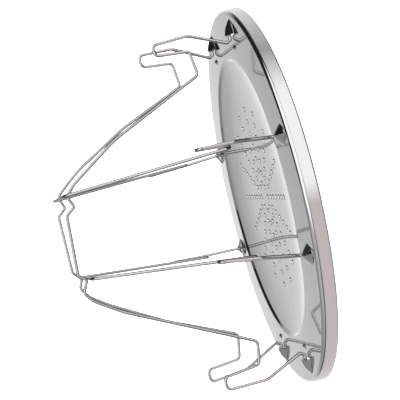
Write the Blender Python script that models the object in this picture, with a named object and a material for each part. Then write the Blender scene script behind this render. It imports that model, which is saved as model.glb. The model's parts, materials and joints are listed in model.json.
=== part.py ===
"""Folding camp-stove toaster: a pressed round steel base and four bent-wire bread racks.

Metres, +Z up. The origin is the centre of the base's footprint, and the skirt stands on Z = 0.
Each rack is one wire bridging the base. Both of its ends are pins, which turn in two pressed pockets.
"""

import math

import bmesh
import bpy
from mathutils import Matrix, Vector

MM = 0.001

# Base: one disc of sheet steel, pressed and pierced.
SHEET = 0.7
DECK_Z = 9.5
RIM_R = 115.0
RIM_FILLET = 2.4
FILLET_STEPS = 3
WELL_R = 86.0
WELL_FLOOR_R = 84.0
WELL_STEP = 0.8
DISH_DEPTH = 4.0
DISH_POWER = 3.0
DISH_RINGS = (0.0, 28.0, 48.0, 67.0, WELL_FLOOR_R)
BASE_SEGMENTS = 72

# Perforations: spokes of round holes in the dished floor. Every second spoke leaves out its innermost hole.
SPOKES = 16
HOLES_PER_SPOKE = 7
HOLE_R = 1.25
HOLE_SIDES = 8
FIRST_HOLE_R = 8.6
LAST_HOLE_R = 54.5
PATTERN_TURN = -1.3

# Pockets: pressed hoods that hold the pins, each with a small pressed-up point in front.
POCKET_MOUTH_R = 96.3
POCKET_TIP_R = 105.6
POCKET_HALF_WIDTH = 6.2
POCKET_HEIGHT = 3.9
POCKET_ARCH = 1.2
POCKET_WALL = 0.6
POCKET_STATIONS = 5
POCKET_SIDES = 8
POCKET_BLUNTNESS = 0.35
STOP_R = 88.9
STOP_RADIUS = 2.0
STOP_HEIGHT = 1.15
STOP_TOP_RADIUS = 0.3
STOP_ROOT = 0.4
STOP_SIDES = 12

# Racks: bent wire.
WIRE_R = 1.0
WIRE_SIDES = 8
ARC_STEP = 22.0
PIN_OFFSET = 32.5
PIN_Z = DECK_Z + WIRE_R + 0.35
PIN_END = 99.0

# Each rack was bent by hand, so no two halves are alike. A bend is (distance from the rack's middle line,
# height over the pin axis, bend radius), and a half is listed from its foot up to the middle.
FOOT = [(93.9, 0.0, 1.3), (92.4, 2.4, 1.6)]
FRONT_LEFT_HALF = FOOT + [
    (102.7, 24.2, 8.0),
    (103.1, 48.5, 4.0),
    (95.5, 48.5, 3.6),
    (93.0, 27.0, 3.0),
    (79.5, 25.0, 3.2),
    (44.5, 96.5, 40.0),
    (34.6, 111.3, 8.0),
    (29.0, 115.9, 4.0),
    (21.6, 112.4, 2.0),
    (18.2, 116.7, 3.0),
]
FRONT_RIGHT_HALF = FOOT + [
    (101.4, 24.0, 8.0),
    (100.3, 44.9, 3.4),
    (94.0, 44.9, 3.2),
    (92.5, 25.0, 2.6),
    (78.1, 23.1, 3.0),
    (66.5, 48.4, 60.0),
    (52.0, 79.5, 60.0),
    (32.9, 107.2, 12.0),
    (27.2, 112.6, 4.0),
    (20.6, 109.6, 2.0),
    (16.6, 115.0, 3.0),
]
REAR_RIGHT_HALF = FOOT + [
    (102.9, 24.9, 8.0),
    (103.1, 46.2, 4.0),
    (95.6, 46.2, 3.6),
    (94.1, 26.8, 3.0),
    (79.0, 25.1, 3.0),
    (60.6, 67.7, 90.0),
    (42.3, 99.0, 40.0),
    (35.0, 108.5, 12.0),
    (28.6, 115.8, 4.0),
    (21.4, 112.7, 2.0),
    (17.0, 117.9, 3.0),
]
REAR_LEFT_HALF = FOOT + [
    (103.8, 25.0, 8.0),
    (106.0, 49.4, 4.0),
    (98.0, 49.4, 3.6),
    (96.2, 28.2, 3.0),
    (80.8, 25.6, 3.0),
    (62.0, 67.6, 90.0),
    (43.3, 99.9, 40.0),
    (35.7, 110.8, 12.0),
    (29.0, 115.4, 4.0),
    (23.5, 113.0, 2.0),
    (18.4, 117.7, 3.0),
]
OUTER_CORNER_S = 43.5


def outer_half(hook, corner, hook_side, lean_side):
    """One half of an outer rack, which has no notch: its hook's height and its top corner's height.

    A fourth value in a bend is its distance out of the rack's plane, because these halves lean sideways.
    """
    return FOOT + [
        (102.7, 24.2, 8.0, 0.7 * hook_side),
        (102.9, hook, 4.0, hook_side),
        (95.4, hook, 3.6, hook_side),
        (93.4, 26.6, 3.0, 0.5 * (hook_side + lean_side)),
        (85.2, 24.6, 3.2, lean_side),
        (75.2, 49.4, 80.0, 0.9 * lean_side),
        (OUTER_CORNER_S, corner, 6.0, 0.5 * lean_side),
    ]


RIGHT_NEAR_HALF = outer_half(44.4, 114.4, 4.0, 0.6)
RIGHT_FAR_HALF = outer_half(49.2, 118.0, -0.8, -0.3)
LEFT_FAR_HALF = outer_half(46.2, 117.4, 3.1, 2.5)
LEFT_NEAR_HALF = outer_half(47.0, 117.8, -3.1, -2.5)

# (name, angle about +Z of the rack's own +Y side, tilt inwards, half on its own +X, half on its -X)
RACKS = [
    ("front_wire_rack", 180.0, 2.7, FRONT_LEFT_HALF, FRONT_RIGHT_HALF),
    ("rear_wire_rack", 0.0, 2.7, REAR_RIGHT_HALF, REAR_LEFT_HALF),
    ("right_wire_rack", 270.0, 2.6, RIGHT_NEAR_HALF, RIGHT_FAR_HALF),
    ("left_wire_rack", 90.0, 5.3, LEFT_FAR_HALF, LEFT_NEAR_HALF),
]


def clear_scene():
    for obj in list(bpy.data.objects):
        bpy.data.objects.remove(obj, do_unlink=True)


def steel(name, colour, roughness):
    material = bpy.data.materials.new(name)
    material.use_nodes = True
    shader = material.node_tree.nodes["Principled BSDF"]
    shader.inputs["Base Color"].default_value = (*colour, 1.0)
    shader.inputs["Metallic"].default_value = 1.0
    shader.inputs["Roughness"].default_value = roughness
    return material


def add_object(name, mesh, material=None):
    obj = bpy.data.objects.new(name, mesh)
    bpy.context.scene.collection.objects.link(obj)
    if material:
        mesh.materials.append(material)
    return obj


def mesh_from(bm, name):
    bmesh.ops.recalc_face_normals(bm, faces=bm.faces)
    mesh = bpy.data.meshes.new(name)
    bm.to_mesh(mesh)
    bm.free()
    return mesh


def dish_height(radius):
    """Height of the well's floor under the deck, in millimetres."""
    share = min(radius / WELL_FLOOR_R, 1.0)
    return -WELL_STEP - (DISH_DEPTH - WELL_STEP) * (1.0 - share**DISH_POWER)


def base_profile():
    """The deck's upper side from the axis out and down the skirt, as (radius, height over the deck)."""
    flat_r = RIM_R - RIM_FILLET
    points = [(r, dish_height(r)) for r in DISH_RINGS]
    points += [(WELL_R, 0.0), (flat_r, 0.0)]
    for step in range(1, FILLET_STEPS + 1):
        turn = math.radians(90.0 * step / FILLET_STEPS)
        points.append((flat_r + RIM_FILLET * math.sin(turn), RIM_FILLET * (math.cos(turn) - 1.0)))
    points.append((RIM_R, -DECK_Z))
    return points


def inset(points, distance):
    """The same profile moved inwards by the sheet's thickness."""
    moved = []
    for index, point in enumerate(points):
        before = points[max(index - 1, 0)]
        after = points[min(index + 1, len(points) - 1)]
        along = Vector((after[0] - before[0], after[1] - before[1])).normalized()
        moved.append((max(point[0] + along.y * distance, 0.0), point[1] - along.x * distance))
    moved[0] = (0.0, points[0][1] - distance)
    moved[-1] = (points[-1][0] - distance, points[-1][1])
    return moved


def ring(bm, radius, height):
    if radius == 0.0:
        return [bm.verts.new((0.0, 0.0, height * MM))]
    return [
        bm.verts.new((radius * MM * math.cos(a), radius * MM * math.sin(a), height * MM))
        for a in (2.0 * math.pi * k / BASE_SEGMENTS for k in range(BASE_SEGMENTS))
    ]


def join_rings(bm, one, two):
    for k in range(BASE_SEGMENTS):
        n = (k + 1) % BASE_SEGMENTS
        if len(one) == 1:
            bm.faces.new((one[0], two[k], two[n]))
        elif len(two) == 1:
            bm.faces.new((one[k], two[0], one[n]))
        else:
            bm.faces.new((one[k], two[k], two[n], one[n]))


def base_shell():
    upper = base_profile()
    profile = upper + inset(upper, SHEET)[::-1]
    bm = bmesh.new()
    rings = [ring(bm, r, DECK_Z + z) for r, z in profile]
    for one, two in zip(rings[:-1], rings[1:]):
        join_rings(bm, one, two)
    return mesh_from(bm, "base_plate")


def hood(bm, place, grow, mouth_r, floor):
    """A leaf-shaped hood, ridged like a tent and running out to a point. grow moves its wall out or in."""
    loops = []
    tip = POCKET_TIP_R + grow
    for step in range(POCKET_STATIONS):
        share = step / (POCKET_STATIONS - POCKET_BLUNTNESS)
        along = mouth_r + (tip - mouth_r) * share
        half = (POCKET_HALF_WIDTH + grow) * math.sqrt(1.0 - share**1.6)
        tall = (POCKET_HEIGHT + grow) * (1.0 - share**1.7)
        outline = [(-half, floor)]
        for k in range(POCKET_SIDES + 1):
            aside = -math.cos(math.pi * k / POCKET_SIDES)
            outline.append((half * aside, tall * (1.0 - abs(aside) ** POCKET_ARCH)))
        outline.append((half, floor))
        loops.append([bm.verts.new(place @ Vector((along, side, height)) * MM) for side, height in outline])
    for one, two in zip(loops[:-1], loops[1:]):
        for k in range(len(one)):
            n = (k + 1) % len(one)
            bm.faces.new((one[k], one[n], two[n], two[k]))
    bm.faces.new(loops[0])
    bm.faces.new(loops[-1])


def pocket_places():
    """One frame for each pocket: local +X runs outwards along the pin's axis, on the deck."""
    for _, angle, _, _, _ in RACKS:
        for end in (0.0, 180.0):
            turn = Matrix.Rotation(math.radians(angle), 4, "Z")
            shift = Matrix.Translation((0.0, PIN_OFFSET, DECK_Z))
            yield turn @ shift @ Matrix.Rotation(math.radians(end), 4, "Z")


def cutter_from(bm, name):
    cutter = add_object(name, mesh_from(bm, name))
    cutter.hide_render = True
    cutter.hide_set(True)
    cutter.display_type = "WIRE"
    return cutter


def add_boolean(obj, cutter, operation):
    modifier = obj.modifiers.new(cutter.name, "BOOLEAN")
    modifier.operation = operation
    modifier.solver = "EXACT"
    modifier.object = cutter


def make_base(material):
    base = add_object("base_plate", base_shell(), material)

    raised = bmesh.new()
    hollow = bmesh.new()
    for place in pocket_places():
        hood(raised, place, 0.0, POCKET_MOUTH_R, -0.4)
        hood(hollow, place, -POCKET_WALL, POCKET_MOUTH_R - 0.5, -2.0)
        stop = place @ Vector((STOP_R, 0.0, 0.5 * (STOP_HEIGHT - STOP_ROOT)))
        bmesh.ops.create_cone(
            raised,
            cap_ends=True,
            segments=STOP_SIDES,
            radius1=STOP_RADIUS * MM,
            radius2=STOP_TOP_RADIUS * MM,
            depth=(STOP_HEIGHT + STOP_ROOT) * MM,
            matrix=Matrix.Translation(stop * MM),
        )
    add_boolean(base, cutter_from(raised, "pressed_up"), "UNION")
    add_boolean(base, cutter_from(hollow, "pressed_hollow"), "DIFFERENCE")

    holes = bmesh.new()
    pitch = (LAST_HOLE_R - FIRST_HOLE_R) / (HOLES_PER_SPOKE - 1)
    for spoke in range(SPOKES):
        angle = math.radians(360.0 * spoke / SPOKES + PATTERN_TURN)
        for step in range(spoke % 2, HOLES_PER_SPOKE):
            radius = FIRST_HOLE_R + pitch * step
            height = DECK_Z + dish_height(radius)
            centre = Vector((radius * math.cos(angle), radius * math.sin(angle), height))
            bmesh.ops.create_cone(
                holes,
                cap_ends=True,
                segments=HOLE_SIDES,
                radius1=HOLE_R * MM,
                radius2=HOLE_R * MM,
                depth=4.0 * MM,
                matrix=Matrix.Translation(centre * MM) @ Matrix.Rotation(angle, 4, "Z"),
            )
    add_boolean(base, cutter_from(holes, "perforations"), "DIFFERENCE")
    return base


def bend_place(station, way=1.0):
    """A bend's corner point in the rack's own upright frame."""
    distance, height, _, *side = station
    return Vector((way * distance, side[0] if side else 0.0, height))


def rounded(corners, radii):
    """The path through the corners, with each corner replaced by an arc."""
    points = [corners[0]]
    for before, corner, after, radius in zip(corners[:-2], corners[1:-1], corners[2:], radii[1:-1]):
        back = before - corner
        onward = after - corner
        bend = math.pi - back.angle(onward)
        reach = min(radius * math.tan(bend / 2.0), 0.48 * back.length, 0.48 * onward.length)
        start = corner + back.normalized() * reach
        finish = corner + onward.normalized() * reach
        steps = max(1, round(math.degrees(bend) / ARC_STEP))
        for k in range(steps + 1):
            t = k / steps
            points.append(start * (1 - t) ** 2 + corner * 2 * t * (1 - t) + finish * t**2)
    points.append(corners[-1])
    return points


def wire_path(plus_half, minus_half):
    """The whole wire, from the pin on +X, over the top, to the pin on -X."""
    pin = (PIN_END, 0.0, 0.0)
    up = [pin] + plus_half
    down = ([pin] + minus_half)[::-1]
    corners = [bend_place(bend) for bend in up] + [bend_place(bend, -1.0) for bend in down]
    return rounded(corners, [bend[2] for bend in up + down])


def make_rack(name, angle, tilt, plus_half, minus_half, material):
    """One rack. Its origin is on its pin axis, and its mesh stands tilted towards the middle."""
    curve = bpy.data.curves.new(name, "CURVE")
    curve.dimensions = "3D"
    curve.bevel_depth = WIRE_R * MM
    curve.bevel_resolution = WIRE_SIDES // 2 - 2
    curve.use_fill_caps = True
    curve.twist_mode = "MINIMUM"
    lean = Matrix.Rotation(math.radians(tilt), 4, "X")
    spline = curve.splines.new("POLY")
    path = [lean @ place for place in wire_path(plus_half, minus_half)]
    spline.points.add(len(path) - 1)
    for point, place in zip(spline.points, path):
        point.co = (*(place * MM), 1.0)
    spline.use_smooth = True
    curve.materials.append(material)
    rack = bpy.data.objects.new(name, curve)
    bpy.context.scene.collection.objects.link(rack)
    turn = Matrix.Rotation(math.radians(angle), 4, "Z")
    rack.location = (turn @ Vector((0.0, PIN_OFFSET, PIN_Z))) * MM
    rack.rotation_euler = (0.0, 0.0, math.radians(angle))
    return rack


def main():
    clear_scene()
    make_base(steel("polished_sheet_steel", (0.62, 0.62, 0.61), 0.18))
    wire_steel = steel("bright_steel_wire", (0.60, 0.59, 0.58), 0.22)
    for name, angle, tilt, plus_half, minus_half in RACKS:
        make_rack(name, angle, tilt, plus_half, minus_half, wire_steel)


main()
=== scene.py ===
"""The looks of the folding stove-top toaster: a polished sheet-steel base and four bright wire racks."""

import json
import math

import bmesh
import bpy
from mathutils import Matrix, Vector


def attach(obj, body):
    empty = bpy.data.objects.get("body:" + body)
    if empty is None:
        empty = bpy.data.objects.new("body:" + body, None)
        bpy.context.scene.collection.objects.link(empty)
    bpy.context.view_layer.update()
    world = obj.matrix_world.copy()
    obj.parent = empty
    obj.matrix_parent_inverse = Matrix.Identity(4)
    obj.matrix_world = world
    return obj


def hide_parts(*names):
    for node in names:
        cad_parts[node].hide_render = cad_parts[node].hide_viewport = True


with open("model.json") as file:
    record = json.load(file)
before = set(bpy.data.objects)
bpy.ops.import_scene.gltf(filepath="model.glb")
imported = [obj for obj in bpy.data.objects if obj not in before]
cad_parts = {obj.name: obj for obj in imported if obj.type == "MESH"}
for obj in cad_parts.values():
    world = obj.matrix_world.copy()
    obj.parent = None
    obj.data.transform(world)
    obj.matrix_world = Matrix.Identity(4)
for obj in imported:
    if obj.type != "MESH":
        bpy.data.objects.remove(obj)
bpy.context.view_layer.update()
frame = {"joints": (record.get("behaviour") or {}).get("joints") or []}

MM = 0.001

# Base plate, in millimetres; heights are over the deck.
SHEET = 0.7
DECK_Z = 9.5
RIM_R = 115.0
RIM_FILLET = 2.4
SKIRT_DRAFT = 0.35
SKIRT_TILT = 6.0
FILLET_START = 88.0
FOOT_ROUND = 1.0
FOOT_CURL = -84.0
WELL_R = 86.0
WELL_FLOOR_R = 84.0
WELL_STEP = 0.8
WELL_BEND = 0.8
WELL_EDGE = 6.0
DECK_DROOP = 0.031
LEVEL_R = 100.0
DISH_DEPTH = 3.7
DISH_POWER = 4.5
SEGMENTS = 288
DISH_RINGS = 30
DISH_CROWDING = 0.9
FILLET_STEPS = 12
SKIRT_STEPS = 8
FOOT_STEPS = 8

SPOKES = 16
HOLES_PER_SPOKE = 7
HOLE_R = 1.25
FIRST_HOLE_R = 8.6
LAST_HOLE_R = 54.5
PATTERN_TURN = -1.3
BURR_R = 1.75
BURR_LIP = 0.1
BURR_HEIGHT = 0.4
BURR_ROOT = -0.3
PUNCH_REACH = 2.0
HOLE_SIDES = 20

POCKET_MOUTH_R = 96.3
POCKET_TIP_R = 105.6
POCKET_HALF_WIDTH = 6.2
POCKET_HEIGHT = 3.9
POCKET_ARCH = 1.2
POCKET_WALL = 0.6
POCKET_NARROWING = 1.6
POCKET_LOWERING = 1.7
POCKET_ROOT = -0.4
POCKET_STATIONS = 18
POCKET_SIDES = 22
HOLLOW_ROOT = -2.0
HOLLOW_SETBACK = 0.5
STOP_R = 88.9
STOP_RADIUS = 2.0
STOP_HEIGHT = 1.15
STOP_FLARE = 1.15
STOP_ROOT = -0.4
STOP_RINGS = 8
STOP_SIDES = 24
SHARP_ANGLE = 32.0

# Racks. A bend is (distance from the rack's middle line, height over the pin axis, bend radius) and, on the
# outer racks, the distance out of the rack's plane. A half is listed from its foot up to the middle.
WIRE_R = 1.0
WIRE_SIDES = 20
ARC_STEP = 6.0
LONGEST_STRETCH = 3.0
DOME_TURNS = (27.0, 54.0, 81.0)
DOME_DEPTH = 0.6
UV_PER_MM = 0.01
PIN_END = 99.0
PIN_OFFSET = 32.5
FOOT = [(93.9, 0.0, 1.3), (92.4, 2.4, 1.6)]
FRONT_LEFT_HALF = FOOT + [
    (102.7, 24.2, 8.0),
    (103.1, 48.5, 4.0),
    (95.5, 48.5, 3.6),
    (93.0, 27.0, 3.0),
    (79.5, 25.0, 3.2),
    (44.5, 96.5, 40.0),
    (34.6, 111.3, 8.0),
    (29.0, 115.9, 4.0),
    (21.6, 112.4, 2.0),
    (18.2, 116.7, 3.0),
]
FRONT_RIGHT_HALF = FOOT + [
    (101.4, 24.0, 8.0),
    (100.3, 44.9, 3.4),
    (94.0, 44.9, 3.2),
    (92.5, 25.0, 2.6),
    (78.1, 23.1, 3.0),
    (66.5, 48.4, 60.0),
    (52.0, 79.5, 60.0),
    (32.9, 107.2, 12.0),
    (27.2, 112.6, 4.0),
    (20.6, 109.6, 2.0),
    (16.6, 115.0, 3.0),
]
REAR_RIGHT_HALF = FOOT + [
    (102.9, 24.9, 8.0),
    (103.1, 46.2, 4.0),
    (95.6, 46.2, 3.6),
    (94.1, 26.8, 3.0),
    (79.0, 25.1, 3.0),
    (60.6, 67.7, 90.0),
    (42.3, 99.0, 40.0),
    (35.0, 108.5, 12.0),
    (28.6, 115.8, 4.0),
    (21.4, 112.7, 2.0),
    (17.0, 117.9, 3.0),
]
REAR_LEFT_HALF = FOOT + [
    (103.8, 25.0, 8.0),
    (106.0, 49.4, 4.0),
    (98.0, 49.4, 3.6),
    (96.2, 28.2, 3.0),
    (80.8, 25.6, 3.0),
    (62.0, 67.6, 90.0),
    (43.3, 99.9, 40.0),
    (35.7, 110.8, 12.0),
    (29.0, 115.4, 4.0),
    (23.5, 113.0, 2.0),
    (18.4, 117.7, 3.0),
]
OUTER_CORNER_S = 43.5


def outer_half(hook, corner, hook_side, lean_side):
    """One half of an outer rack, which has no notch: its hook's height and its top corner's height."""
    return FOOT + [
        (102.7, 24.2, 8.0, 0.7 * hook_side),
        (102.9, hook, 4.0, hook_side),
        (95.4, hook, 3.6, hook_side),
        (93.4, 26.6, 3.0, 0.5 * (hook_side + lean_side)),
        (85.2, 24.6, 3.2, lean_side),
        (75.2, 49.4, 80.0, 0.9 * lean_side),
        (OUTER_CORNER_S, corner, 6.0, 0.5 * lean_side),
    ]


RIGHT_NEAR_HALF = outer_half(44.4, 114.4, 4.0, 0.6)
RIGHT_FAR_HALF = outer_half(49.2, 118.0, -0.8, -0.3)
# The left rack's top is caught under the notches of the front and rear racks.
LEFT_FAR_HALF = outer_half(46.2, 111.2, 3.1, 2.5)
LEFT_NEAR_HALF = outer_half(47.0, 110.6, -3.1, -2.5)

# rack: (joint, turn about +Z, tilt inwards, half on its own +X, half on its -X)
RACKS = {
    "front": ("front_rack_fold", 180.0, 2.7, FRONT_LEFT_HALF, FRONT_RIGHT_HALF),
    "rear": ("rear_rack_fold", 0.0, 2.7, REAR_RIGHT_HALF, REAR_LEFT_HALF),
    "right": ("right_rack_swing", 270.0, 2.6, RIGHT_NEAR_HALF, RIGHT_FAR_HALF),
    "left": ("left_rack_swing", 90.0, 5.3, LEFT_FAR_HALF, LEFT_NEAR_HALF),
}


# ---------------------------------------------------------------- materials

# Noise scales are per metre. The stretched ones draw marks out: turning marks are fine along the radius and
# long around it.
TURNING_STRETCH = (2600.0, 1.6, 1.0)
SMEAR_SCALE = 26.0
CLOUD_SCALE = 9.0
SCRATCH_SCALE = 210.0
GRAIN_SCALE = 1400.0
DRAWN_STRETCH = (30.0, 26.0, 1.0)
HANDLED_SCALE = 70.0
SHEET_TONES = [(0.25, (0.63, 0.63, 0.632)), (0.75, (0.67, 0.67, 0.67))]
CUT_TONES = [(0.3, 0.88), (0.7, 0.96)]
WIRE_TONES = [(0.3, (0.45, 0.44, 0.44)), (0.7, (0.53, 0.52, 0.52))]
WIRE_EDGE_TINT = (0.10, 0.10, 0.10, 1.0)


class Nodes:
    """A short way to add and link the nodes of one tree."""

    def __init__(self, tree):
        self.tree = tree

    def add(self, kind, links=None, **settings):
        node = self.tree.nodes.new(kind)
        for name, value in settings.items():
            setattr(node, name, value)
        for name, value in (links or {}).items():
            if isinstance(value, bpy.types.NodeSocket):
                self.tree.links.new(value, node.inputs[name])
            else:
                node.inputs[name].default_value = value
        return node

    def ramp(self, factor, stops):
        node = self.add("ShaderNodeValToRGB", {"Fac": factor})
        elements = node.color_ramp.elements
        while len(elements) < len(stops):
            elements.new(0.5)
        for element, (position, grey) in zip(elements, stops):
            element.position = position
            element.color = (*grey, 1.0) if isinstance(grey, tuple) else (grey, grey, grey, 1.0)
        return node.outputs["Color"]

    def spread(self, value, low, high, out_low=0.0, out_high=1.0, smooth=True):
        """value from low..high, mapped to out_low..out_high."""
        node = self.add(
            "ShaderNodeMapRange",
            {"Value": value, "From Min": low, "From Max": high, "To Min": out_low, "To Max": out_high},
            interpolation_type="SMOOTHSTEP" if smooth else "LINEAR",
        )
        return node.outputs["Result"]

    def maths(self, operation, one, two):
        return self.add("ShaderNodeMath", {0: one, 1: two}, operation=operation).outputs[0]

    def stretched(self, vector, by):
        links = {0: vector, 1: by}
        return self.add("ShaderNodeVectorMath", links, operation="MULTIPLY").outputs[0]

    def noise(self, vector, scale, detail, distortion=0.0):
        links = {"Vector": vector, "Scale": scale, "Detail": detail, "Distortion": distortion}
        return self.add("ShaderNodeTexNoise", links).outputs["Fac"]

    def bump(self, height, strength, distance, under=None):
        links = {"Height": height, "Strength": strength, "Distance": distance}
        if under is not None:
            links["Normal"] = under
        return self.add("ShaderNodeBump", links).outputs[0]

    def mix(self, factor, one, two):
        return self.add("ShaderNodeMix", {0: factor, 6: one, 7: two}, data_type="RGBA").outputs[2]


def new_steel(name):
    material = bpy.data.materials.new(name)
    material.use_nodes = True
    nodes = Nodes(material.node_tree)
    shader = material.node_tree.nodes["Principled BSDF"]
    shader.inputs["Metallic"].default_value = 1.0
    return material, nodes, shader


def link(nodes, socket, shader, name):
    nodes.tree.links.new(socket, shader.inputs[name])


def sheet_steel():
    """Pressed and polished sheet: faint turning marks, soft smears and a few fine scratches."""
    material, nodes, shader = new_steel("polished_sheet_steel")
    place = nodes.add("ShaderNodeTexCoord").outputs["Object"]
    apart = nodes.add("ShaderNodeSeparateXYZ", {0: place}).outputs
    flat = nodes.add("ShaderNodeCombineXYZ", {"X": apart["X"], "Y": apart["Y"]}).outputs[0]
    radius = nodes.add("ShaderNodeVectorMath", {0: flat}, operation="LENGTH").outputs["Value"]
    around = nodes.maths("ARCTAN2", apart["Y"], apart["X"])
    polar = nodes.add("ShaderNodeCombineXYZ", {"X": radius, "Y": around}).outputs[0]

    turning = nodes.noise(nodes.stretched(polar, TURNING_STRETCH), 1.0, 3.0)
    smears = nodes.noise(place, SMEAR_SCALE, 5.0)
    cloud = nodes.noise(place, CLOUD_SCALE, 2.0)
    scratches = nodes.noise(place, SCRATCH_SCALE, 6.0, 1.4)

    link(nodes, nodes.ramp(smears, SHEET_TONES), shader, "Base Color")
    dulled = nodes.spread(smears, 0.45, 0.8, 0.0, 0.03)
    rough = nodes.maths("ADD", nodes.spread(cloud, 0.3, 0.7, 0.03, 0.06), dulled)
    rough = nodes.maths("ADD", rough, nodes.spread(turning, 0.35, 0.7, 0.0, 0.02))
    link(nodes, rough, shader, "Roughness")
    fine = nodes.maths("ADD", nodes.maths("MULTIPLY", turning, 0.6), nodes.maths("MULTIPLY", scratches, 0.4))
    link(nodes, nodes.bump(cloud, 0.10, 0.0005, nodes.bump(fine, 0.03, 0.00005)), shader, "Normal")
    return material


def cut_steel():
    """The bare edge of the sheet where it was pierced or lanced: bright, with a fine torn grain."""
    material, nodes, shader = new_steel("cut_sheet_edge")
    place = nodes.add("ShaderNodeTexCoord").outputs["Object"]
    grain = nodes.noise(place, GRAIN_SCALE, 3.0)
    link(nodes, nodes.ramp(grain, CUT_TONES), shader, "Base Color")
    link(nodes, nodes.spread(grain, 0.3, 0.7, 0.2, 0.3), shader, "Roughness")
    link(nodes, nodes.bump(grain, 0.3, 0.00005), shader, "Normal")
    return material


def wire_steel():
    """Bright drawn wire: fine lines along its length, and duller spots where it was bent and handled."""
    material, nodes, shader = new_steel("bright_drawn_wire")
    coords = nodes.add("ShaderNodeTexCoord").outputs
    drawn = nodes.noise(nodes.stretched(coords["UV"], DRAWN_STRETCH), 1.0, 4.0)
    handled = nodes.noise(coords["Object"], HANDLED_SCALE, 4.0)
    link(nodes, nodes.ramp(handled, WIRE_TONES), shader, "Base Color")
    lined = nodes.spread(drawn, 0.35, 0.7, 0.0, 0.05)
    rough = nodes.maths("ADD", nodes.spread(handled, 0.35, 0.7, 0.08, 0.14), lined)
    link(nodes, rough, shader, "Roughness")
    shader.inputs["Specular Tint"].default_value = WIRE_EDGE_TINT
    link(nodes, nodes.bump(drawn, 0.12, 0.00004), shader, "Normal")
    return material


# ---------------------------------------------------------------- base plate


def arc(centre, radius, start, end, steps):
    """Points on an arc in (radius, height), from start to end degrees, both ends included."""
    turns = [math.radians(start + (end - start) * k / steps) for k in range(steps + 1)]
    return [(centre[0] + radius * math.cos(t), centre[1] + radius * math.sin(t)) for t in turns]


def dish_height(radius):
    """The dish's height under the deck, at a radius: lowest in the middle, and steepest at its edge."""
    share = min(radius / WELL_FLOOR_R, 1.0)
    return -WELL_STEP - (DISH_DEPTH - WELL_STEP) * (1.0 - share**DISH_POWER)


def deck_height(radius):
    """The deck slopes down a little towards the rim; it is at its nominal height at LEVEL_R."""
    return DECK_DROOP * (LEVEL_R - radius)


def blended(points, reach):
    """The polyline with each sharp corner turned into a short curve, reach millimetres to each side."""
    made = [points[0]]
    for before, here, after in zip(points[:-2], points[1:-1], points[2:]):
        here = Vector(here)
        back, onward = Vector(before) - here, Vector(after) - here
        if math.pi - back.angle(onward) < math.radians(8.0):
            made.append(tuple(here))
            continue
        cut = min(reach, 0.45 * back.length, 0.45 * onward.length)
        start, finish = here + back.normalized() * cut, here + onward.normalized() * cut
        for k in range(6):
            t = k / 5
            made.append(tuple(start * (1 - t) ** 2 + here * 2 * t * (1 - t) + finish * t**2))
    made.append(points[-1])
    return made


def plate_profile():
    """The sheet's upper side from the axis out and down the skirt."""
    radii = [WELL_FLOOR_R * (k / DISH_RINGS) ** DISH_CROWDING for k in range(DISH_RINGS + 1)]
    dish = [(r, dish_height(r)) for r in radii]
    flat_r = RIM_R - SKIRT_DRAFT - RIM_FILLET
    fillet_centre = (flat_r, deck_height(flat_r) - RIM_FILLET)
    edge = arc(fillet_centre, RIM_FILLET, FILLET_START, SKIRT_TILT, FILLET_STEPS)
    top, bottom = edge[-1], (RIM_R, FOOT_ROUND - DECK_Z)
    skirt = []
    for k in range(1, SKIRT_STEPS):
        t = k / SKIRT_STEPS
        skirt.append((bottom[0] - (bottom[0] - top[0]) * (1 - t) ** 2, top[1] + (bottom[1] - top[1]) * t))
    deck = [(r, deck_height(r)) for r in (WELL_R, WELL_R + WELL_EDGE)]
    well = blended([dish[-2], dish[-1]] + deck, WELL_BEND)[1:]
    foot = arc((RIM_R - FOOT_ROUND, FOOT_ROUND - DECK_Z), FOOT_ROUND, 0.0, FOOT_CURL, FOOT_STEPS)
    return dish[:-1] + well + [(LEVEL_R, 0.0)] + edge + skirt + foot


def normals_2d(points):
    """The outward normal at each point of a profile that runs outwards along its upper side."""
    found = []
    for index in range(len(points)):
        before = Vector(points[max(index - 1, 0)])
        after = Vector(points[min(index + 1, len(points) - 1)])
        along = (after - before).normalized()
        found.append(Vector((-along.y, along.x)))
    found[0] = Vector((0.0, 1.0))
    return found


def closed_profile():
    """The sheet's section from the axis out: its upper side, that side's normals, and its lower side."""
    upper = plate_profile()
    outward = normals_2d(upper)
    lower = [(max(p[0] - n.x * SHEET, 0.0), p[1] - n.y * SHEET) for p, n in zip(upper, outward)]
    return upper, outward, lower


def lathe(bm, section):
    rings = []
    for radius, height in section:
        if radius == 0.0:
            rings.append([bm.verts.new((0.0, 0.0, (DECK_Z + height) * MM))])
            continue
        turns = [2.0 * math.pi * k / SEGMENTS for k in range(SEGMENTS)]
        z = (DECK_Z + height) * MM
        rings.append([bm.verts.new((radius * MM * math.cos(t), radius * MM * math.sin(t), z)) for t in turns])
    for one, two in zip(rings[:-1], rings[1:]):
        for k in range(SEGMENTS):
            n = (k + 1) % SEGMENTS
            if len(one) == 1:
                bm.faces.new((one[0], two[k], two[n]))
            elif len(two) == 1:
                bm.faces.new((one[k], two[0], one[n]))
            else:
                bm.faces.new((one[k], two[k], two[n], one[n]))


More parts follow.
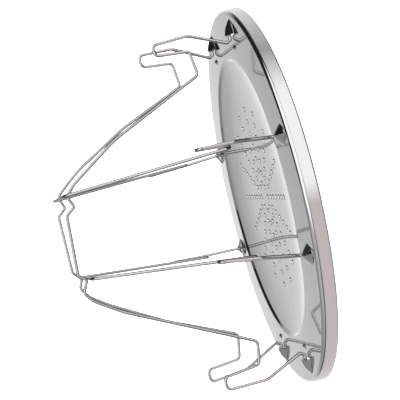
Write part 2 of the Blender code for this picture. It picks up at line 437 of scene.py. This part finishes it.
def hood(bm, place, grow, mouth_r, floor):
    """A leaf-shaped dome, tall at its mouth and running out to a point. grow moves its wall out or in."""
    loops = []
    tip = POCKET_TIP_R + grow
    for step in range(POCKET_STATIONS):
        share = step / (POCKET_STATIONS - 0.5)
        along = mouth_r + (tip - mouth_r) * share
        half = (POCKET_HALF_WIDTH + grow) * math.sqrt(1.0 - share**POCKET_NARROWING)
        tall = (POCKET_HEIGHT + grow) * (1.0 - share**POCKET_LOWERING)
        loop = [bm.verts.new(place @ Vector((along, -half, floor)) * MM)]
        for k in range(POCKET_SIDES + 1):
            aside = -math.cos(math.pi * k / POCKET_SIDES)
            rise = tall * (1.0 - abs(aside) ** POCKET_ARCH)
            loop.append(bm.verts.new(place @ Vector((along, half * aside, rise)) * MM))
        loop.append(bm.verts.new(place @ Vector((along, half, floor)) * MM))
        loops.append(loop)
    for one, two in zip(loops[:-1], loops[1:]):
        for k in range(len(one)):
            n = (k + 1) % len(one)
            bm.faces.new((one[k], one[n], two[n], two[k]))
    bm.faces.new(loops[0])
    bm.faces.new(loops[-1])


def turned(bm, centre, section, sides):
    """A small closed turned solid on the centre. Its section runs from the axis out and back to it."""
    loops = []
    for radius, height in section:
        turns = [2.0 * math.pi * k / sides for k in range(sides if radius else 1)]
        ring = [Vector((radius * math.cos(t), radius * math.sin(t), height)) + centre for t in turns]
        loops.append([bm.verts.new(place * MM) for place in ring])
    for one, two in zip(loops[:-1], loops[1:]):
        for k in range(sides):
            n = (k + 1) % sides
            corners = [one[k % len(one)], two[k % len(two)], two[n % len(two)], one[n % len(one)]]
            bm.faces.new(list(dict.fromkeys(corners)))


def stop_section():
    """A blunt cone, sunk a little into the sheet."""
    shares = [k / STOP_RINGS for k in range(STOP_RINGS + 1)]
    cap = [(STOP_RADIUS * share, STOP_HEIGHT * (1.0 - share**STOP_FLARE)) for share in shares]
    return cap + [(STOP_RADIUS, STOP_ROOT), (0.0, STOP_ROOT)]


def object_from(bm, name, materials):
    bmesh.ops.recalc_face_normals(bm, faces=bm.faces)
    mesh = bpy.data.meshes.new(name)
    bm.to_mesh(mesh)
    bm.free()
    for material in materials:
        mesh.materials.append(material)
    obj = bpy.data.objects.new(name, mesh)
    bpy.context.scene.collection.objects.link(obj)
    return obj


def pocket_places():
    """A frame for each pocket: local +X runs outwards along the pin's axis, on the deck."""
    for joint in frame["joints"]:
        x, y, _ = joint["pos_m"]
        shift = Matrix.Translation((x / MM, y / MM, DECK_Z))
        for quarter in (0.0, 180.0):
            turn = quarter + (90.0 if abs(x) > abs(y) else 0.0)
            yield shift @ Matrix.Rotation(math.radians(turn), 4, "Z")


def hole_places():
    pitch = (LAST_HOLE_R - FIRST_HOLE_R) / (HOLES_PER_SPOKE - 1)
    for spoke in range(SPOKES):
        angle = math.radians(360.0 * spoke / SPOKES + PATTERN_TURN)
        for step in range(spoke % 2, HOLES_PER_SPOKE):
            radius = FIRST_HOLE_R + pitch * step
            yield Vector((radius * math.cos(angle), radius * math.sin(angle), DECK_Z + dish_height(radius)))


def burr_section():
    """The raised lip that the punch leaves round a hole."""
    lip = [(0.0, BURR_HEIGHT), (HOLE_R + BURR_LIP, BURR_HEIGHT), (BURR_R, 0.0)]
    return lip + [(BURR_R, BURR_ROOT), (0.0, BURR_ROOT)]


def punch_section():
    return [(0.0, PUNCH_REACH), (HOLE_R, PUNCH_REACH), (HOLE_R, -PUNCH_REACH), (0.0, -PUNCH_REACH)]


def combine(obj, cutter, operation):
    modifier = obj.modifiers.new(cutter.name, "BOOLEAN")
    modifier.operation = operation
    modifier.solver = "EXACT"
    modifier.material_mode = "TRANSFER"
    modifier.object = cutter


def analytic_normals(obj, upper, outward, lower):
    """Custom normals: exact ones on the turned sheet, so that its reflections run clean past each cut."""
    mesh = obj.data
    mesh.shade_smooth()
    mesh.set_sharp_from_angle(angle=math.radians(SHARP_ANGLE))
    section = []
    for index in range(len(upper) - 1):
        section.append((upper[index], upper[index + 1], outward[index], outward[index + 1]))
        section.append((lower[index], lower[index + 1], -outward[index], -outward[index + 1]))
    normals = [Vector(corner.vector) for corner in mesh.corner_normals]
    points = [vertex.co.copy() for vertex in mesh.vertices]
    known = {}
    for polygon in mesh.polygons:
        if polygon.material_index != 0:
            continue
        middle = polygon.center
        if math.hypot(middle.x, middle.y) < 1e-6:
            continue
        out = Vector((middle.x, middle.y)).normalized()
        face = Vector((polygon.normal.x * out.x + polygon.normal.y * out.y, polygon.normal.z)).normalized()
        for corner in polygon.loop_indices:
            index = mesh.loops[corner].vertex_index
            point = points[index]
            radius = math.hypot(point.x, point.y) / MM
            key = (index, round(face.x, 1), round(face.y, 1))
            if key not in known:
                known[key] = section_normal(section, Vector((radius, point.z / MM - DECK_Z)), face)
            flat = known[key]
            if flat is None:
                continue
            away = Vector((point.x, point.y)).normalized() if radius > 0.01 else out
            normals[corner] = Vector((away.x * flat.x, away.y * flat.x, flat.y)).normalized()
    mesh.normals_split_custom_set(normals)


def section_normal(section, place, face):
    """The smooth normal of the nearest stretch of the section that faces the same way, or None."""
    best, found = 0.05, None
    for start, end, first, last in section:
        if max(start[0], end[0]) < place.x - 0.2 or min(start[0], end[0]) > place.x + 0.2:
            continue
        if (first + last).dot(face) < 1.2:
            continue
        begin, step = Vector(start), Vector(end) - Vector(start)
        share = min(max((place - begin).dot(step) / max(step.length_squared, 1e-9), 0.0), 1.0)
        distance = (begin + step * share - place).length
        if distance < best:
            best, found = distance, first.lerp(last, share).normalized()
    return found


def make_plate(sheet, edge):
    """The turned sheet with its pressed pockets, stops and punched holes, all as one piece."""
    upper, outward, lower = closed_profile()
    bm = bmesh.new()
    lathe(bm, upper + lower[::-1])
    plate = object_from(bm, "steel_plate", [sheet])

    raised, hollow = bmesh.new(), bmesh.new()
    stop = Vector((STOP_R, 0.0, deck_height(math.hypot(STOP_R, PIN_OFFSET))))
    for place in pocket_places():
        hood(raised, place, 0.0, POCKET_MOUTH_R, POCKET_ROOT)
        hood(hollow, place, -POCKET_WALL, POCKET_MOUTH_R - HOLLOW_SETBACK, HOLLOW_ROOT)
        turned(raised, place @ stop, stop_section(), STOP_SIDES)
    burrs, holes = bmesh.new(), bmesh.new()
    for centre in hole_places():
        turned(burrs, centre, burr_section(), HOLE_SIDES)
        turned(holes, centre, punch_section(), HOLE_SIDES)
    pressed = bpy.data.materials.new("pressed")
    helpers = [
        (object_from(raised, "pressed_up", [pressed]), "UNION"),
        (object_from(burrs, "punched_burrs", [edge]), "UNION"),
        (object_from(hollow, "pressed_hollow", [pressed]), "DIFFERENCE"),
        (object_from(holes, "perforations", [edge]), "DIFFERENCE"),
    ]
    for helper, operation in helpers:
        combine(plate, helper, operation)
    bpy.context.view_layer.update()
    graph = bpy.context.evaluated_depsgraph_get()
    mesh = bpy.data.meshes.new_from_object(plate.evaluated_get(graph), depsgraph=graph)
    plate.modifiers.clear()
    plate.data = mesh
    for helper, _ in helpers:
        bpy.data.objects.remove(helper)
    analytic_normals(plate, upper, outward, lower)
    for index, material in enumerate(mesh.materials):
        if material == pressed:
            mesh.materials[index] = sheet
    bpy.data.materials.remove(pressed)
    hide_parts("base_plate")
    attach(plate, "base")


# ---------------------------------------------------------------- wire racks


def bend_place(station, way=1.0):
    """A bend's corner point in the rack's own upright frame."""
    distance, height, _, *side = station
    return Vector((way * distance, side[0] if side else 0.0, height))


def rounded(corners, radii):
    """The path through the corners, with each corner replaced by an arc."""
    points = [corners[0]]
    for before, corner, after, radius in zip(corners[:-2], corners[1:-1], corners[2:], radii[1:-1]):
        back, onward = before - corner, after - corner
        bend = math.pi - back.angle(onward)
        reach = min(radius * math.tan(bend / 2.0), 0.48 * back.length, 0.48 * onward.length)
        start, finish = corner + back.normalized() * reach, corner + onward.normalized() * reach
        steps = max(2, round(math.degrees(bend) / ARC_STEP))
        for k in range(steps + 1):
            t = k / steps
            points.append(start * (1 - t) ** 2 + corner * 2 * t * (1 - t) + finish * t**2)
    points.append(corners[-1])
    return points


def wire_path(plus_half, minus_half):
    """The whole wire, from the pin on +X, over the top, to the pin on -X."""
    pin = (PIN_END, 0.0, 0.0)
    up = [pin] + plus_half
    down = ([pin] + minus_half)[::-1]
    corners = [bend_place(bend) for bend in up] + [bend_place(bend, -1.0) for bend in down]
    path = rounded(corners, [bend[2] for bend in up + down])
    filled = []
    for one, two in zip(path[:-1], path[1:]):
        pieces = max(1, math.ceil((two - one).length / LONGEST_STRETCH))
        filled += [one.lerp(two, k / pieces) for k in range(pieces)]
    return filled + [path[-1]]


def tube(name, path, material):
    """A round wire along the path, with a domed end on each side, and UVs that run along and round it."""
    bm = bmesh.new()
    uv = bm.loops.layers.uv.new("UVMap")
    tangents = []
    for index in range(len(path)):
        before, after = path[max(index - 1, 0)], path[min(index + 1, len(path) - 1)]
        tangents.append((after - before).normalized())
    across = tangents[0].orthogonal().normalized()
    stations = []
    length = 0.0
    for index, (point, tangent) in enumerate(zip(path, tangents)):
        if index:
            length += (point - path[index - 1]).length
            across = tangents[index - 1].rotation_difference(tangent) @ across
        stations.append((point, tangent, across.copy(), WIRE_R, length))
    for end, way in ((0, -1.0), (-1, 1.0)):
        point, tangent, side, _, run = stations[end]
        domed = []
        for turn in map(math.radians, DOME_TURNS):
            shift = way * WIRE_R * DOME_DEPTH * math.sin(turn)
            domed.append((point + tangent * shift, tangent, side, WIRE_R * math.cos(turn), run + shift))
        stations = domed[::-1] + stations if way < 0 else stations + domed
    rings = []
    for point, tangent, side, radius, run in stations:
        other = tangent.cross(side)
        ring = []
        for k in range(WIRE_SIDES):
            turn = 2.0 * math.pi * k / WIRE_SIDES
            spoke = side * radius * math.cos(turn) + other * radius * math.sin(turn)
            ring.append(bm.verts.new((point + spoke) * MM))
        rings.append((ring, run))
    for (one, start), (two, finish) in zip(rings[:-1], rings[1:]):
        for k in range(WIRE_SIDES):
            n = (k + 1) % WIRE_SIDES
            face = bm.faces.new((one[k], one[n], two[n], two[k]))
            face.smooth = True
            places = ((start, k), (start, k + 1), (finish, k + 1), (finish, k))
            for loop, (run, turn) in zip(face.loops, places):
                loop[uv].uv = (run * UV_PER_MM, turn / WIRE_SIDES)
    bm.faces.new(rings[0][0])
    bm.faces.new(rings[-1][0])
    return object_from(bm, name, [material])


def make_racks(material):
    joints = {joint["name"]: joint for joint in frame["joints"]}
    for name, (joint, angle, tilt, plus_half, minus_half) in RACKS.items():
        axis = Vector(joints[joint]["pos_m"]) / MM
        place = Matrix.Translation(axis) @ Matrix.Rotation(math.radians(angle), 4, "Z")
        place @= Matrix.Rotation(math.radians(tilt), 4, "X")
        rack = tube(f"{name}_wire", [place @ point for point in wire_path(plus_half, minus_half)], material)
        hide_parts(f"{name}_wire_rack")
        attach(rack, f"{name}_rack")


# ---------------------------------------------------------------- stage, light and camera

FLOOR_R = 20.0
FLOOR_SIDES = 96
COVE_R = 6.0
COVE_TURNS = [math.radians(15.0 * k) for k in range(7)]
WALL_HEIGHT = 40.0
CAMERA_PLACE = (0.018257, -0.729140, 0.152987)
CAMERA_TURN = (-57.6543, 74.0151, -146.8386)
CAMERA_LENS = 110.17
CAMERA_SHIFT = (-0.0142, 0.0495)


def make_floor():
    """A white floor that sweeps up into a white wall. The steel does not mirror it: it mirrors the studio."""
    bm = bmesh.new()
    section = [(FLOOR_R + COVE_R * math.sin(t), COVE_R * (1.0 - math.cos(t))) for t in COVE_TURNS]
    section.append((FLOOR_R + COVE_R, WALL_HEIGHT))
    turns = [2.0 * math.pi * k / FLOOR_SIDES for k in range(FLOOR_SIDES)]
    rings = [[bm.verts.new((0.0, 0.0, 0.0))]]
    for radius, height in section:
        rings.append([bm.verts.new((radius * math.cos(t), radius * math.sin(t), height)) for t in turns])
    for one, two in zip(rings[:-1], rings[1:]):
        for k in range(FLOOR_SIDES):
            n = (k + 1) % FLOOR_SIDES
            bm.faces.new(list(dict.fromkeys((one[k % len(one)], two[k], two[n], one[n % len(one)]))))
    material = bpy.data.materials.new("white_floor")
    material.use_nodes = True
    shader = material.node_tree.nodes["Principled BSDF"]
    shader.inputs["Base Color"].default_value = (0.9, 0.9, 0.9, 1.0)
    shader.inputs["Roughness"].default_value = 0.6
    shader.inputs["Emission Color"].default_value = (1.0, 1.0, 1.0, 1.0)
    shader.inputs["Emission Strength"].default_value = 1.0
    floor = object_from(bm, "floor", [material])
    floor.visible_glossy = False


PINKISH = (1.08, 0.965, 0.965)


def pinkish(grey):
    return tuple(grey * part for part in PINKISH)


# The studio around the object, in rows from straight down to straight up. A row is its direction's height,
# then its stops: (degrees about +Z from -Y towards +X, brightness).
STUDIO = [
    (-1.00, [(-180, 0.30), (180, 0.30)]),
    (-0.60, [(-180, 0.45), (-10, 0.40), (4, 0.08), (90, 0.08), (130, 0.35), (180, 0.45)]),
    (-0.48, [
        (-180, 1.00), (-140, 0.95), (-115, 0.50), (-10, 0.45), (4, 0.30), (100, 0.10),
        (150, 0.95), (180, 1.00),
    ]),
    (-0.34, [
        (-180, 0.90), (-140, 0.85), (-120, pinkish(0.74)), (-8, pinkish(0.74)), (4, 1.35), (60, 1.35),
        (75, 0.95), (91, 0.50), (128, 0.75), (150, 0.95), (180, 0.90),
    ]),
    (-0.04, [
        (-180, 0.80), (-120, pinkish(0.74)), (-8, pinkish(0.74)), (4, 1.35), (60, 1.35),
        (75, 0.95), (91, 0.50), (105, 0.65), (128, 0.88), (155, 0.98), (180, 0.80),
    ]),
    (0.04, [
        (-180, 1.04), (-150, 0.95), (-130, 0.15), (-60, 0.15), (-40, 0.50), (-8, 0.70), (5, 1.25), (45, 1.25),
        (70, 0.60), (90, 0.20), (140, 0.12), (155, 0.95), (180, 1.04),
    ]),
    (0.10, [
        (-180, 0.92), (-150, 0.85), (-130, 0.15), (-50, 0.15), (-15, 0.30), (15, 0.90), (55, 0.90),
        (80, 0.12), (140, 0.10), (155, 0.85), (180, 0.92),
    ]),
    (0.15, [
        (-180, 0.80), (-150, 0.75), (-130, 0.15), (-50, 0.15), (-15, 0.20), (15, 0.90), (55, 0.90),
        (80, 0.12), (140, 0.08), (155, 0.70), (180, 0.80),
    ]),
    (0.195, [
        (-180, 0.73), (-155, 0.75), (-130, 0.15), (-50, 0.15), (-15, 0.20), (15, 0.90), (55, 0.90),
        (80, 0.12), (140, 0.08), (155, 0.60), (180, 0.73),
    ]),
    (0.24, [
        (-180, 0.63), (-155, 0.75), (-130, 0.20), (-50, 0.20), (-15, 0.30), (15, 0.95), (55, 0.90),
        (80, 0.08), (140, 0.05), (155, 0.50), (180, 0.63),
    ]),
    (0.29, [
        (-180, 0.55), (-162, 0.74), (-130, 0.30), (-50, 0.30), (-10, 0.45), (15, 1.10), (60, 1.10),
        (80, 0.08), (140, 0.02), (158, 0.45), (180, 0.55),
    ]),
    (0.35, [
        (-180, 0.53), (-155, 0.55), (-60, 0.40), (-10, 0.60), (8, 0.60), (22, 1.40),
        (70, 1.30), (86, 0.02), (150, 0.02), (165, 0.50), (180, 0.53),
    ]),
    (0.42, [
        (-180, 0.48), (-120, 0.42), (-60, 0.60), (-30, 0.62), (-15, 1.50), (22, 1.50), (76, 1.50), (90, 0.02),
        (158, 0.02), (170, 0.45), (180, 0.48),
    ]),
    (0.50, [
        (-180, 0.36), (-125, 0.36), (-90, 0.62), (-30, 0.62), (-15, 1.50), (22, 1.50), (80, 1.50), (94, 0.02),
        (174, 0.02), (180, 0.36),
    ]),
    (0.97, [
        (-180, 0.34), (-125, 0.34), (-90, 0.62), (-30, 0.62), (-15, 1.50), (22, 1.50), (80, 1.50), (94, 0.02),
        (176, 0.02), (180, 0.34),
    ]),
    (1.00, [(-180, 0.22), (180, 0.22)]),
]


def make_world():
    """The room that the steel mirrors: a pale wall behind, a soft box in front and a black flag at +X."""
    world = bpy.data.worlds.new("studio")
    bpy.context.scene.world = world
    world.use_nodes = True
    nodes = Nodes(world.node_tree)
    background = world.node_tree.nodes["Background"]
    direction = nodes.add("ShaderNodeTexCoord").outputs["Generated"]
    apart = nodes.add("ShaderNodeSeparateXYZ", {0: direction}).outputs
    turn = nodes.maths("ARCTAN2", apart["X"], nodes.maths("MULTIPLY", apart["Y"], -1.0))
    around = nodes.spread(turn, -math.pi, math.pi, smooth=False)

    def row(stops):
        return nodes.ramp(around, [(degrees / 360.0 + 0.5, grey) for degrees, grey in stops])

    colour = row(STUDIO[0][1])
    for (low, _), (high, stops) in zip(STUDIO[:-1], STUDIO[1:]):
        colour = nodes.mix(nodes.spread(apart["Z"], low, high), colour, row(stops))
    world.node_tree.links.new(colour, background.inputs["Color"])
    background.inputs["Strength"].default_value = 1.0


def make_camera():
    data = bpy.data.cameras.new("camera")
    data.lens = CAMERA_LENS
    data.sensor_width = 36.0
    data.shift_x, data.shift_y = CAMERA_SHIFT
    data.clip_start, data.clip_end = 0.05, 200.0
    camera = bpy.data.objects.new("camera", data)
    camera.location = CAMERA_PLACE
    camera.rotation_euler = [math.radians(turn) for turn in CAMERA_TURN]
    bpy.context.scene.collection.objects.link(camera)
    bpy.context.scene.camera = camera


def main():
    make_plate(sheet_steel(), cut_steel())
    make_racks(wire_steel())
    make_floor()
    make_world()
    make_camera()
    bpy.context.scene.view_settings.view_transform = "Standard"


main()
